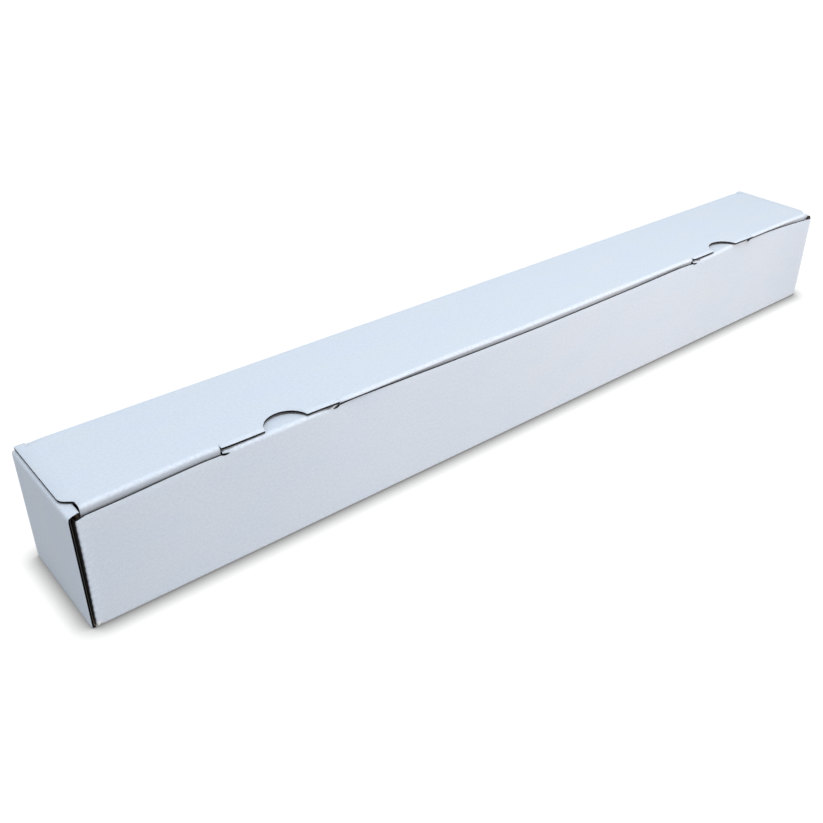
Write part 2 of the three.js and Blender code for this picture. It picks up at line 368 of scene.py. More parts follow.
def smoothed(stations):
    """A smooth course through stations, as a function of x."""
    fine = np.arange(-END_X, END_X + 1, 1.0)
    reach = int(SETTLE_BLUR)
    kernel = np.hanning(2 * reach + 1)
    course = np.pad(np.interp(fine, *zip(*stations)), reach, mode="edge")
    course = np.convolve(course, kernel / kernel.sum(), "valid")
    return lambda x: np.interp(x, fine, course)


wall_lean = smoothed(WALL_LEAN)
lid_shift = smoothed(LID_SHIFT)


def settle(points, of_lid):
    """The small ways in which the folded board departs from its nominal planes."""
    x, y, z = points.T
    if of_lid:
        top = lid_shift(x)
        below = smooth((LID_LEAN_Z - z) / (LID_LEAN_Z - WALL_TOP))
        shift = top + (np.maximum(top, wall_lean(x)) - top) * below
        share = np.clip((HINGE_Y - SEAM_REACH - y) / (HINGE_Y - SEAM_REACH - CREASE_Y), 0, 1)
    else:
        shift = wall_lean(x)
        share = smooth((LEAN_START - y) / LEAN_FADE) * np.clip(z / WALL_TOP, 0, 1) ** LEAN_POWER
    return np.stack([x, y + shift * share, z], -1)


def fold_tray(u, v, w):
    """Folded places of flat points of the tray."""
    side = np.where(u < 0, -1.0, 1.0)
    front = v < 0
    abs_u, abs_v = np.abs(u), np.abs(v)
    in_fold = (abs_v > WALL_Y - FOLD_RADIUS) & (abs_u <= FLAP_X - FOLD_RADIUS + SLIT / 2)
    in_wall = in_fold | (abs_v > WALL_Y + TINY)
    end_place, end_normal = end_path.at(abs_u)
    x = side * (end_place[:, 0] + w * end_normal[:, 0])
    y = v.copy()
    z = end_place[:, 1] + w * end_normal[:, 1]
    for path, chosen, facing in ((front_path, in_wall & front, -1.0), (back_path, in_wall & ~front, 1.0)):
        place, normal = path.at(abs_v[chosen])
        corner_place, corner_normal = corner_path.at(abs_u[chosen])
        upright = np.abs(normal[:, 0])
        shift = np.where(u[chosen] < 0, CREASE_SHIFT[LEFT], CREASE_SHIFT[RIGHT])
        shift = shift * smooth(1 - (FLAP_X - corner_place[:, 0]) / CREASE_SHIFT_LENGTH)
        shift = shift * smooth((place[:, 1] + CRUSHED_HEIGHT) / CREASE_SHIFT_LENGTH)
        x[chosen] = side[chosen] * (corner_place[:, 0] - shift + w[chosen] * corner_normal[:, 0] * upright)
        depth = corner_place[:, 1] + w[chosen] * (corner_normal[:, 1] - 1)
        y[chosen] = facing * (place[:, 0] + w[chosen] * normal[:, 0] - depth)
        crushed = smooth((abs_u[chosen] - FLAP_X + FOLD_RADIUS) / CRUSHED_FADE)
        crushed = crushed * smooth(1 - place[:, 1] / CRUSHED_HEIGHT)
        z[chosen] = place[:, 1] + w[chosen] * normal[:, 1] - CRUSHED_DROP * crushed
    return np.stack([x, y, z], -1)


LID_FOLD_START = HINGE_Y - CREASE_Y
LID_FOLD_END = LID_FOLD_START + FOLD_RADIUS * (TUCK_TOP_ANGLE - math.pi / 2)
LID_END = LID_FOLD_END + SWING_RADIUS * (TUCK_END_ANGLE - TUCK_TOP_ANGLE)
LIP_V = HINGE_Y - LIP_Y
HINGE_X = INNER_X - SEAT_GAP
WALL_SEAM = ROLL_Z - SEAM_REACH
LID_SEAM = HINGE_Y - (WALL_Y - BOARD) + SEAM_REACH


def fold_lid(u, v, w):
    """Folded places of flat points of the lid. Here v runs forward from the hinge."""
    y = HINGE_Y - v
    z = LID_TOP - w
    in_lip = np.abs(np.abs(u) - LOCK_X) <= LIP_WIDTH / 2 + SLIT / 2
    creased = (v > LID_FOLD_START) & ~in_lip
    angle = math.pi / 2 + (v - LID_FOLD_START) / FOLD_RADIUS
    radius = FOLD_RADIUS - w
    y = np.where(creased, CREASE_Y + radius * np.cos(angle), y)
    z = np.where(creased, CREASE_Z + radius * np.sin(angle), z)
    tucked = (v > LID_FOLD_END) & ~in_lip
    angle = TUCK_TOP_ANGLE + (v - LID_FOLD_END) / SWING_RADIUS
    radius = SWING_RADIUS - w
    y = np.where(tucked, HINGE_Y + radius * np.cos(angle), y)
    z = np.where(tucked, HINGE_Z + radius * np.sin(angle), z)
    return np.stack([u, y, z], -1)


def fold_hinge(u, v, w):
    """Folded places of the strip over the lid's crease. Here v runs up the back wall and forward."""
    radius = HINGE_RADIUS
    corner_v = LID_TOP - radius
    angle = (v - corner_v) / radius
    flat = corner_v + radius * math.pi / 2
    y = np.where(v < corner_v, WALL_Y - w, WALL_Y - radius + (radius - w) * np.cos(angle))
    z = np.where(v < corner_v, v, LID_TOP - radius + (radius - w) * np.sin(angle))
    y = np.where(v > flat, WALL_Y - radius - (v - flat), y)
    z = np.where(v > flat, LID_TOP - w, z)
    return np.stack([u, y, z], -1)


def tray_outline():
    """The flat outline of the tray, and the slots in it for the feet."""
    relief_u = FLAP_X - FOLD_RADIUS
    low = BOARD + FLAP_CLEARANCE
    free = flap_u(FLAP_REACH)
    inner_half = WALL_Y - BOARD - SIDE_SLACK
    inner_crease = end_path.creases[2][0]
    bottom_edge = inner_u(BOARD + SEAT_GAP)
    foot_edge = inner_u(SEAT_GAP)

    def end(sign_u, sign_v):
        """One quarter of an end panel's edge, from the relief cut to the middle of its free edge."""
        middle = FOOT_SPACING / 2
        side = WALL_Y - (END_RECESS[sign_u] if sign_v == FRONT else 0)
        corners = [
            (relief_u, WALL_Y - FOLD_RADIUS), (FLAP_X + SLIT, WALL_Y - FOLD_RADIUS),
            (FLAP_X + SLIT, side), (panel_u(ROLL_Z - ROLL_OUTER_RADIUS), side),
            (inner_crease, side - ROLL_TAPER), (inner_crease, inner_half), (bottom_edge, inner_half),
            (bottom_edge, middle + FOOT_WIDTH / 2), (foot_edge, middle + FOOT_WIDTH / 2),
            (foot_edge, middle - FOOT_WIDTH / 2), (bottom_edge, middle - FOOT_WIDTH / 2),
        ]
        return [(sign_u * u, sign_v * v) for u, v in corners]

    def flap(sign_u, sign_v):
        """A corner flap's edge, from the wall's top to the relief cut."""
        crease_end = flap_u(FOLD_RADIUS)
        drop = CORNER_DROP[sign_u]
        foot = WALL_Y + SLIT / 2
        corners = [
            (relief_u - 2 * CORNER_SLOPE, wall_v(WALL_TOP)),
            (relief_u - CORNER_SLOPE, wall_v(WALL_TOP), CORNER_SLOPE),
            (crease_end, wall_v(WALL_TOP - drop)),
            (free, wall_v(WALL_TOP - drop - FLAP_TAPER), FLAP_CORNER),
            (free, wall_v(low + FLAP_TAPER), FLAP_CORNER),
            (crease_end + CUT_SLANT, wall_v(low)), (crease_end - CUT_SLANT, foot), (relief_u, foot),
        ]
        return [(sign_u * u, sign_v * v) for u, v in rounded(corners)]

    def tab(sign_u):
        """The edge of a lock tab with the relief cuts beside it, from the middle outward."""
        top = wall_v(WALL_TOP)
        tip = front_path.length
        near, far = LOCK_X - TAB_WIDTH / 2, LOCK_X + TAB_WIDTH / 2
        radius = (RELIEF_WIDTH ** 2 / 4 + RELIEF_DEPTH ** 2) / (2 * RELIEF_DEPTH)
        half = math.asin(RELIEF_WIDTH / 2 / radius)
        inset = RELIEF_UNDERCUT - RELIEF_WIDTH / 2

        def relief(middle):
            return arc_points(middle, top - RELIEF_DEPTH + radius, radius,
                              -math.pi / 2 - half, -math.pi / 2 + half, CORNER_STEPS)

        corners = [
            *relief(near + inset), (near, top + TAB_EAR), (near, tip, TAB_CORNER),
            (far, tip, TAB_CORNER), (far, top + TAB_EAR), *relief(far - inset),
        ]
        return [(sign_u * u, -v) for u, v in rounded(corners)]

    quarter_back = [(HINGE_X, wall_v(WALL_SEAM))]
    right = [
        *tab(RIGHT), *flap(RIGHT, FRONT), *end(RIGHT, FRONT),
        *end(RIGHT, BACK)[::-1], *flap(RIGHT, BACK)[::-1], *quarter_back[::-1],
    ]
    left = [
        *[(-u, v) for u, v in quarter_back], *flap(LEFT, BACK), *end(LEFT, BACK),
        *end(LEFT, FRONT)[::-1], *flap(LEFT, FRONT)[::-1], *tab(LEFT)[::-1],
    ]
    slots = []
    for sign_u in (LEFT, RIGHT):
        for sign_v in (FRONT, BACK):
            reach = FOOT_WIDTH / 2 + FOOT_SLACK
            low_u, high_u = INNER_X - FOOT_SLACK, INNER_X + BOARD + FOOT_SLACK
            middle = FOOT_SPACING / 2
            slots.append([
                (sign_u * u, sign_v * v) for u, v in (
                    (low_u, middle - reach), (high_u, middle - reach),
                    (high_u, middle + reach), (low_u, middle + reach))
            ])
    return [right + left, *slots]


def lid_outline():
    """The flat outline of the lid, with its lips, thumb notches and corner cuts."""
    lip_half = LIP_WIDTH / 2
    radius = (NOTCH_WIDTH ** 2 / 4 + NOTCH_DEPTH ** 2) / (2 * NOTCH_DEPTH)
    centre_v = LIP_V - NOTCH_DEPTH + radius
    half_angle = math.asin(NOTCH_WIDTH / 2 / radius)

    def half(sign):
        cut_v = HINGE_Y + WALL_Y - CORNER_CUT_LENGTH[sign]
        moon = arc_points(LOCK_X + NOTCH_SHIFT[sign], centre_v, radius, -math.pi / 2 - half_angle,
                          -math.pi / 2 + half_angle, NOTCH_STEPS)
        corners = [
            (LOCK_X - lip_half - SLIT, LID_END), (LOCK_X - lip_half - SLIT, LID_FOLD_START),
            (LOCK_X - lip_half, LID_FOLD_START), (LOCK_X - lip_half, LIP_V), *moon,
            (LOCK_X + lip_half, LIP_V), (LOCK_X + lip_half, LID_FOLD_START),
            (LOCK_X + lip_half + SLIT, LID_FOLD_START), (LOCK_X + lip_half + SLIT, LID_END),
            (TUCK_X, LID_END, TUCK_CORNER), (TUCK_X, cut_v + CORNER_CUT_SLANT[sign], FOLD_RADIUS),
            (SIDE_X, cut_v, CORNER_CUT_RADIUS), (SIDE_X, 0), (HINGE_X + STRIP_GAP, 0),
            (HINGE_X + STRIP_GAP, LID_SEAM),
        ]
        return [(sign * u, v, *rest) for u, v, *rest in corners]

    return [rounded(half(RIGHT) + half(LEFT)[::-1])]


def inside(points, loop):
    """True for each point that lies inside a closed loop."""
    loop = np.array(loop)
    nxt = np.roll(loop, -1, 0)
    result = np.zeros(len(points), bool)
    for (u0, v0), (u1, v1) in zip(loop, nxt):
        if v0 == v1:
            continue
        crosses = (points[:, 1] < v0) != (points[:, 1] < v1)
        result ^= crosses & (points[:, 0] < u0 + (points[:, 1] - v0) * (u1 - u0) / (v1 - v0))
    return result


def clear_of(points, loops, margin):
    """True for each point that is at least margin away from every edge of the loops."""
    result = np.ones(len(points), bool)
    for loop in loops:
        loop = np.array(loop)
        for a, b in zip(loop, np.roll(loop, -1, 0)):
            along = b - a
            length = along @ along
            if length == 0:
                continue
            t = np.clip((points - a) @ along / length, 0, 1)
            result &= ((points - a - t[:, None] * along) ** 2).sum(1) > margin * margin
    return result


def split_edges(loop, lines_u, lines_v):
    """The loop with points added where grid lines cross it."""
    out = []
    lines_u, lines_v = np.array(lines_u), np.array(lines_v)
    for (u0, v0), (u1, v1) in zip(loop, loop[1:] + loop[:1]):
        cuts = {0.0}
        if abs(u1 - u0) > 1e-6:
            t = (lines_u - u0) / (u1 - u0)
            cuts |= set(t[(t > 1e-3) & (t < 1 - 1e-3)].tolist())
        if abs(v1 - v0) > 1e-6:
            t = (lines_v - v0) / (v1 - v0)
            cuts |= set(t[(t > 1e-3) & (t < 1 - 1e-3)].tolist())
        out += [(u0 + (u1 - u0) * t, v0 + (v1 - v0) * t) for t in sorted(cuts)]
    return out


def flat_mesh(loops, lines_u, lines_v, ring_insets, margin):
    """Triangles of the flat area inside the first loop and outside the others."""
    edges = []
    points = []
    for loop in loops:
        start = len(points)
        points += split_edges(loop, lines_u, lines_v)
        ring = list(range(start, len(points)))
        edges += list(zip(ring, ring[1:] + ring[:1]))
    free = [(np.array([(u, v) for u in lines_u for v in lines_v]), margin)]
    for inset in ring_insets:
        rings = [split_edges(loop, lines_u, lines_v) for loop in shrunk(loops, inset)]
        free.append((np.array(sum(rings, [])), RING_SHARE * inset))
    for candidates, clearance in free:
        keep = inside(candidates, loops[0]) & clear_of(candidates, loops, clearance)
        for hole in loops[1:]:
            keep &= ~inside(candidates, hole)
        points += [tuple(p) for p in candidates[keep]]
    verts, _, faces, _, _, _ = delaunay_2d_cdt([Vector(p) for p in points], edges, [], 0, 1e-5)
    verts = np.array([tuple(v) for v in verts])
    faces = np.array([f for f in faces if len(f) == 3])
    centres = verts[faces].mean(1)
    good = inside(centres, loops[0])
    for hole in loops[1:]:
        good &= ~inside(centres, hole)
    return verts, faces[good]


def boundary_edges(faces):
    """The directed edges that belong to one triangle only."""
    directed = {edge for tri in faces.tolist() for edge in zip(tri, tri[1:] + tri[:1])}
    return np.array([(a, b) for a, b in directed if (b, a) not in directed])


def bump(distance, reach):
    """1 where the distance is 0, falling smoothly to 0 at reach."""
    return smooth(1 - np.abs(distance) / reach)


def wave(v):
    """1 where the fluted core is furthest from the outer liner, and 0 where it touches."""
    return 0.5 + 0.5 * np.sin(2 * math.pi * v / FLUTE_PITCH)


class Sheet:
    """One part of the folded sheet: its flat outline, its fold, and how its faces are pressed in."""

    def __init__(self, name, loops, fold, of_lid, cross_creases, long_creases, seams):
        self.name = name
        self.loops = loops
        self.fold = fold
        self.of_lid = of_lid
        self.cross_creases = cross_creases
        self.long_creases = long_creases
        self.seams = seams

    def cut_distance(self, points):
        """How far each flat point is from the nearest cut edge, seams apart."""
        nearest = np.full(len(points), 1e3)
        for loop in self.loops:
            loop = np.array(loop)
            for a, b in zip(loop, np.roll(loop, -1, 0)):
                along = b - a
                length = along @ along
                if length == 0 or any(abs(a[1] - v) + abs(b[1] - v) < TINY for v in self.seams):
                    continue
                t = np.clip((points - a) @ along / length, 0, 1)
                nearest = np.minimum(nearest, np.hypot(*(points - a - t[:, None] * along).T))
        return nearest

    def crossing(self, u, v, reach=DENT_REACH, even=False):
        """How near each flat point is to a crease that runs across the flutes, from 0 to 1. Each crease
        counts by its own strength, or where even is true, all count alike."""
        near = np.zeros(len(u))
        for centre, strength, on_wall in self.cross_creases:
            here = (np.abs(v) > WALL_Y) == on_wall
            near = np.maximum(near, (1 if even else strength) * bump(np.abs(u) - centre, reach) * here)
        return near

    def place(self, points, w):
        """Folded places of flat points at a depth w between the two faces of the board."""
        u, v = points.T
        edge = bump(self.cut_distance(points), CRUSH_REACH)
        roll = 0 if self.of_lid else bump(np.abs(u) - ROLL_MIDDLE, ROLL_WIDTH) * (np.abs(v) < WALL_Y)
        outside = WASHBOARD * wave(v) + CREASE_DENT * wave(v) * self.crossing(u, v) + CRUSH_OUTSIDE * edge
        outside -= CREASE_RIDGE * self.crossing(u, v, RIDGE_REACH, True)
        if not self.of_lid:
            on_tab = smooth((-v - wall_v(WALL_TOP)) / TAB_EAR)
            outside += TAB_CURL * on_tab * bump(np.abs(np.abs(u) - LOCK_X) - TAB_WIDTH / 2, CRUSH_REACH)
        within = WASHBOARD * (1 - wave(v)) + (CRUSH_INSIDE + ROLL_CRUSH * roll) * edge
        pressed = outside + w * (BOARD - outside - within) / BOARD
        return settle(self.fold(u, v, pressed), self.of_lid)

    def mesh(self, piece_name, flat, outer, inner, slots):
        """A closed layer between two depths. slots are the materials of its outer face, its inner face
        and its edges."""
        verts, faces = flat
        u, v = verts.T
        count = len(verts)
        rim = boundary_edges(faces)
        points = np.concatenate([self.place(verts, outer(u, v)), self.place(verts, inner(u, v))]) * METRE
        polygons = [*faces.tolist(), *(faces[:, ::-1] + count).tolist(),
                    *np.stack([rim[:, 1], rim[:, 0], rim[:, 0] + count, rim[:, 1] + count], 1).tolist()]
        materials = np.repeat(slots, [len(faces), len(faces), len(rim)])
        mesh = bpy.data.meshes.new(piece_name)
        mesh.from_pydata(points.tolist(), [], polygons)
        mesh.polygons.foreach_set("material_index", materials.astype(np.int32))
        corner_verts = np.zeros(len(mesh.loops), np.int32)
        mesh.loops.foreach_get("vertex_index", corner_verts)
        flat_places = np.concatenate([verts, verts]) * METRE
        layer = mesh.uv_layers.new(name="flat_sheet")
        layer.data.foreach_set("uv", flat_places[corner_verts].astype(np.float32).ravel())
        fold_nearness = self.crossing(u, v)
        covered = smooth((np.abs(u) - CORNER_MIDDLE) / GAP_FADE) * (np.abs(v) > WALL_Y)
        covered = covered * (not self.of_lid)
        for centre in self.long_creases:
            fold_nearness = np.maximum(fold_nearness, bump(v - centre, LONG_CREASE_REACH))
        for attribute, values in (
                ("crease", fold_nearness), ("covered", covered),
                ("cut_edge", bump(self.cut_distance(verts), CRUSH_REACH))):
            stored = mesh.attributes.new(attribute, "FLOAT", "POINT")
            stored.data.foreach_set("value", np.concatenate([values, values]).astype(np.float32))
        mesh.validate()
        mesh.update()
        return add_piece(piece_name, mesh)


def add_piece(name, mesh):
    piece = bpy.data.objects.new(name, mesh)
    bpy.context.scene.collection.objects.link(piece)
    for polygon in mesh.polygons:
        polygon.use_smooth = True
    mesh.set_sharp_from_angle(angle=SHARP_ANGLE)
    return piece


def grid_lines(low, high, step, creases):
    """Evenly spaced lines, with those at creases added and their near neighbours left out."""
    count = max(1, round((high - low) / step))
    lines = sorted({round(s, 4) for s in creases})
    even = [s for s in np.linspace(low, high, count + 1).tolist()
            if all(abs(s - crease) > step * LINE_SHARE for crease in lines)]
    return sorted(lines + even)


def flute_lines(low, high, steps, creases):
    """Lines that follow the flutes, several to each, with those at creases added."""
    step = FLUTE_PITCH / steps
    return grid_lines(math.floor(low / step) * step, math.ceil(high / step) * step, step, creases)


def depth(value):
    return lambda u, v: np.full(len(u), float(value))


def flute(offset):
    """Depth of the core's face: a wave across the flutes that touches both liners."""
    swing = (BOARD - 2 * LINER - CORE) / 2 - CORE_CLEARANCE
    return lambda u, v: BOARD / 2 + swing * np.sin(2 * math.pi * v / FLUTE_PITCH) + offset


def shrunk(loops, by):
    """The loops drawn in by a small distance."""
    out = []
    for number, loop in enumerate(loops):
        pts = np.array(loop)
        distinct = np.linalg.norm(pts - np.roll(pts, 1, 0), axis=1) > 1e-6
        pts = pts[distinct]
        before = pts - np.roll(pts, 1, 0)
        after = np.roll(pts, -1, 0) - pts
        before /= np.linalg.norm(before, axis=1)[:, None]
        after /= np.linalg.norm(after, axis=1)[:, None]
        area = 0.5 * np.sum(pts[:, 0] * np.roll(pts[:, 1], -1) - np.roll(pts[:, 0], -1) * pts[:, 1])
        way = math.copysign(1.0, area) * (1 if number == 0 else -1)
        left_before = way * np.stack([-before[:, 1], before[:, 0]], 1)
        left_after = way * np.stack([-after[:, 1], after[:, 0]], 1)
        bisector = left_before + left_after
        scale = 1 + (left_before * left_after).sum(1)
        out.append([tuple(p) for p in pts + by * bisector / np.maximum(scale, MITRE_LIMIT)[:, None]])
    return out


class Nodes:
    """Short calls for the nodes of one material."""

    def __init__(self, name):
        self.material = bpy.data.materials.new(name)
        self.material.use_nodes = True
        self.tree = self.material.node_tree
        self.shader = self.tree.nodes["Principled BSDF"]

    def add(self, kind, **inputs):
        node = self.tree.nodes.new(kind)
        for key, value in inputs.items():
            socket = node.inputs[key.replace("_", " ")]
            if isinstance(value, bpy.types.NodeSocket):
                self.tree.links.new(value, socket)
            else:
                socket.default_value = value
        return node

    def link(self, output, target):
        self.tree.links.new(output, target)

    def math(self, operation, first, second=0.0):
        node = self.tree.nodes.new("ShaderNodeMath")
        node.operation = operation
        for socket, value in zip(node.inputs, (first, second)):
            if isinstance(value, bpy.types.NodeSocket):
                self.link(value, socket)
            else:
                socket.default_value = value
        return node.outputs[0]

    def sheet(self, scale_u, scale_v):
        """Flat places on the sheet, with so many units to a metre along the flutes and across them."""
        place = self.add("ShaderNodeUVMap")
        place.uv_map = "flat_sheet"
        node = self.add("ShaderNodeMapping", Vector=place.outputs["UV"])
        node.inputs["Scale"].default_value = (scale_u, scale_v, 1)
        return node.outputs["Vector"]

    def noise(self, vector, detail=3.0, roughness=0.55):
        node = self.add("ShaderNodeTexNoise", Vector=vector, Scale=1.0, Detail=detail, Roughness=roughness)
        return node.outputs["Fac"]

    def attribute(self, name):
        node = self.add("ShaderNodeAttribute")
        node.attribute_name = name
        return node.outputs["Fac"]

    def between(self, factor, low, high):
        """The part of a factor that lies between low and high, as 0 to 1."""
        node = self.tree.nodes.new("ShaderNodeMapRange")
        self.link(factor, node.inputs["Value"])
        node.inputs["From Min"].default_value = low
        node.inputs["From Max"].default_value = high
        return node.outputs["Result"]

    def mix(self, factor, first, second):
        node = self.tree.nodes.new("ShaderNodeMix")
        node.data_type = "RGBA"
        # The places of the node's sockets for colours
        factor_socket, first_socket, second_socket, result = 0, 6, 7, 2
        self.link(factor, node.inputs[factor_socket])
        for index, value in ((first_socket, first), (second_socket, second)):
            if isinstance(value, bpy.types.NodeSocket):
                self.link(value, node.inputs[index])
            else:
                node.inputs[index].default_value = (*value, 1)
        return node.outputs[result]

    def shaded(self, colour, changes):
        """The colour made lighter or darker by (factor, amount) pairs, each about its middle of 0.5."""
        value = 1.0
        for factor, amount in changes:
            part = self.math("MULTIPLY", self.math("SUBTRACT", factor, 0.5), amount)
            value = self.math("ADD", part, value)
        node = self.add("ShaderNodeHueSaturation", Color=colour, Value=value)
        return node.outputs["Color"]

    def bump(self, height, distance, strength=1.0, before=None):
        node = self.add("ShaderNodeBump", Height=height, Distance=distance, Strength=strength)
        if before:
            self.link(before, node.inputs["Normal"])
        return node.outputs["Normal"]

    def complete(self, colour, factor, spread, roughness, specular, normal):
        """Joins the shader's sockets. The roughness grows by up to spread with the factor."""
        inputs = self.shader.inputs
        self.link(colour, inputs["Base Color"])
        self.link(self.math("ADD", self.math("MULTIPLY", factor, spread), roughness), inputs["Roughness"])
        inputs["Specular IOR Level"].default_value = specular
        self.link(normal, inputs["Normal"])
        return self.material


def flute_height(nodes):
    """A wave that follows the flutes, for the relief of a liner."""
    across = nodes.add("ShaderNodeSeparateXYZ", Vector=nodes.sheet(1, 2 * math.pi / (FLUTE_PITCH * METRE)))
    return nodes.math("MULTIPLY", nodes.math("SINE", across.outputs["Y"]), -0.5)


def white_board():
    """Cool, matt, mottled white paper: warm in patches near the table, paler at folds by wear and painted
    highlight, with painted shade behind end panels.
    """
    nodes = Nodes("white_board")
    clouds = nodes.noise(nodes.sheet(14, 30), 3)
    fibres = nodes.noise(nodes.sheet(330, 380), 4, 0.65)
    grain = nodes.noise(nodes.sheet(640, 720), 3)
    crease = nodes.attribute("crease")
    cut = nodes.attribute("cut_edge")
    base = nodes.mix(nodes.between(clouds, 0.35, 0.65), WHITE_COOL, WHITE_NEUTRAL)
    coordinates = nodes.add("ShaderNodeTexCoord").outputs["Object"]
    height = nodes.add("ShaderNodeSeparateXYZ", Vector=coordinates).outputs["Z"]
    low = nodes.between(height, WARM_LOW_HEIGHT * METRE, 0.0)
    warm_low = nodes.mix(nodes.math("MULTIPLY", low, nodes.between(fibres, 0.2, 0.7)), base, WHITE_WARM_LOW)
    away = nodes.add("ShaderNodeVectorMath", Vector=coordinates)
    away.operation = "DISTANCE"
    away.inputs[1].default_value = TORN_CORNER
    torn = nodes.between(away.outputs["Value"], TORN_REACH * METRE, 0.4 * TORN_REACH * METRE)
    shaded = nodes.mix(nodes.attribute("covered"), warm_low, GAP_SHADE)
    torn_base = nodes.mix(torn, shaded, WHITE_TORN)
    # paler along the folds: the wear of the coating there, and a painted highlight
    worn_and_highlit = nodes.math("MULTIPLY", crease, nodes.between(fibres, 0.25, 0.6))
    colour = nodes.shaded(torn_base, [
        (fibres, 0.18), (grain, 0.20), (worn_and_highlit, CREASE_PALE), (nodes.math("SUBTRACT", 1.0, cut), 0.08),
    ])
    washboard = nodes.bump(flute_height(nodes), WASHBOARD * METRE, 0.8)
    fine = nodes.bump(nodes.noise(nodes.sheet(800, 1000), 3), WHITE_GRAIN * METRE, 0.8, washboard)
    return nodes.complete(colour, fibres, spread=0.16, roughness=0.60, specular=0.35, normal=fine)


def kraft_board():
    """The brown inner liner, with long fibres, darker flecks, the flutes showing through, and painted
    shade at its cut edges and folds.
    """
    nodes = Nodes("kraft_board")
    fibres = nodes.noise(nodes.sheet(90, 900), 4, 0.65)
    flecks = nodes.noise(nodes.sheet(700, 1500), 2, 0.7)
    clouds = nodes.noise(nodes.sheet(12, 25), 3)
    base = nodes.mix(nodes.between(fibres, 0.3, 0.7), KRAFT_DARK, KRAFT_PALE)
    spotted = nodes.mix(nodes.between(flecks, 0.68, 0.76), base, KRAFT_FLECK)
    # painted shade towards the cut edges
    edge_shaded = nodes.mix(nodes.between(nodes.attribute("cut_edge"), 0.0, 0.8), spotted, KRAFT_EDGE_SHADE)
    # painted shade: the kraft is darker along its folds, where the inside corners lie
    colour = nodes.shaded(edge_shaded, [(clouds, 0.16), (nodes.attribute("crease"), -0.10)])
    washboard = nodes.bump(flute_height(nodes), -WASHBOARD * METRE)
    fine = nodes.bump(fibres, KRAFT_GRAIN * METRE, 0.7, washboard)
    return nodes.complete(colour, fibres, spread=0.2, roughness=0.68, specular=0.25, normal=fine)


def shaded_raw_paper(name, dark, brown, stretch):
    """Cut or fluted kraft paper inside the board, in a near-black grey that is painted shade, with a brown
    streak here and there.
    """
    nodes = Nodes(name)
    streaks = nodes.noise(nodes.sheet(60, 60 * stretch), 4, 0.6)
    specks = nodes.noise(nodes.sheet(900, 900), 2)
    base = nodes.mix(nodes.between(streaks, 0.45, 0.7), dark, brown)
    colour = nodes.shaded(base, [(specks, 0.5)])
    fine = nodes.bump(specks, RAW_GRAIN * METRE, 0.8)
    return nodes.complete(colour, specks, spread=0.1, roughness=0.85, specular=0.15, normal=fine)


def build_board(sheet, body, lines_u, lines_v):
    """The outer liner, fluted core and inner liner of one part of the sheet, as three pieces."""
    outer_flat = flat_mesh(sheet.loops, lines_u["liner"], lines_v["liner"], RING_INSETS, CRUSH_REACH)
    inner_flat = flat_mesh(sheet.loops, lines_u["liner"], lines_v["inner"], RING_INSETS, CRUSH_REACH)
    core_loops = shrunk(sheet.loops, CORE_RECESS)
    core_flat = flat_mesh(core_loops, lines_u["core"], lines_v["core"], (), CORE_MARGIN)
    outer = sheet.mesh(f"{sheet.name}_outer_liner", outer_flat, depth(0), depth(LINER), (0, 1, 2))
    inner = sheet.mesh(
        f"{sheet.name}_inner_liner", inner_flat, depth(BOARD - LINER), depth(BOARD), (1, 0, 2))
    core = sheet.mesh(f"{sheet.name}_core", core_flat, flute(-CORE / 2), flute(CORE / 2), (0, 0, 0))
    finish(outer, [white, shaded_raw_core, shaded_raw_edge])
    finish(inner, [kraft, shaded_raw_core, shaded_raw_edge])
    finish(core, [shaded_raw_core])
    for piece in (outer, inner, core):
        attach(piece, body)
    return outer


def finish(piece, materials):
    for material in materials:
        piece.data.materials.append(material)


white = white_board()
kraft = kraft_board()
# painted shade: the cut edges and the fluted core are kraft paper, coloured near-black grey for the shade
# in the narrow gaps
shaded_raw_edge = shaded_raw_paper("shaded_raw_edge", (0.11, 0.115, 0.125), (0.17, 0.15, 0.12), 1)
shaded_raw_core = shaded_raw_paper("shaded_raw_core", (0.040, 0.041, 0.044), (0.070, 0.056, 0.042), 4)

# The tray: bottom, walls, corner flaps, lock tabs and rolled ends
tray_long = [-s for s in front_path.crease_lines()] + back_path.crease_lines()
tray_cross = sum([[s, -s] for s in corner_path.crease_lines() + end_path.crease_lines()], [])
tray_sheet = Sheet(
    "tray", tray_outline(), fold_tray, False,
    cross_creases=[(CORNER_MIDDLE, 1, True)]
    + [(sum(crease) / 2, share, False) for crease, share in zip(end_path.creases, END_DENTS)],
    long_creases=[-sum(crease) / 2 for crease in front_path.creases] + [sum(back_path.creases[0]) / 2],
    seams=[wall_v(WALL_SEAM)],
)
tray_span = (-front_path.length, back_path.length)
tray_board = build_board(
    tray_sheet, "tray",
    {"liner": grid_lines(-end_path.length, end_path.length, LINER_STEP_U, tray_cross),
     "core": grid_lines(-end_path.length, end_path.length, CORE_STEP_U, tray_cross)},
    {"liner": flute_lines(*tray_span, LINER_FLUTE_STEPS, tray_long),
     "inner": grid_lines(*tray_span, INNER_STEP_V, tray_long),
     "core": flute_lines(*tray_span, CORE_FLUTE_STEPS, [])},
)
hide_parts("tray")

# The lid with its tuck flap and lips
lid_creases = np.linspace(LID_FOLD_START, LID_FOLD_END, FOLD_STEPS + 1).tolist()
lid_sheet = Sheet(
    "lid", lid_outline(), fold_lid, True,
    cross_creases=[], long_creases=[(LID_FOLD_START + LID_FOLD_END) / 2], seams=[LID_SEAM],
)
lid_span = (-BOARD / 2, LID_END)
lid_board = build_board(
    lid_sheet, "lid",
    {"liner": grid_lines(-SIDE_X, SIDE_X, LINER_STEP_U, []),
     "core": grid_lines(-SIDE_X, SIDE_X, CORE_STEP_U, [])},
    {"liner": flute_lines(*lid_span, LINER_FLUTE_STEPS, lid_creases),
     "inner": grid_lines(*lid_span, INNER_STEP_V, lid_creases),
     "core": flute_lines(*lid_span, CORE_FLUTE_STEPS, [])},
)
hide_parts("lid")
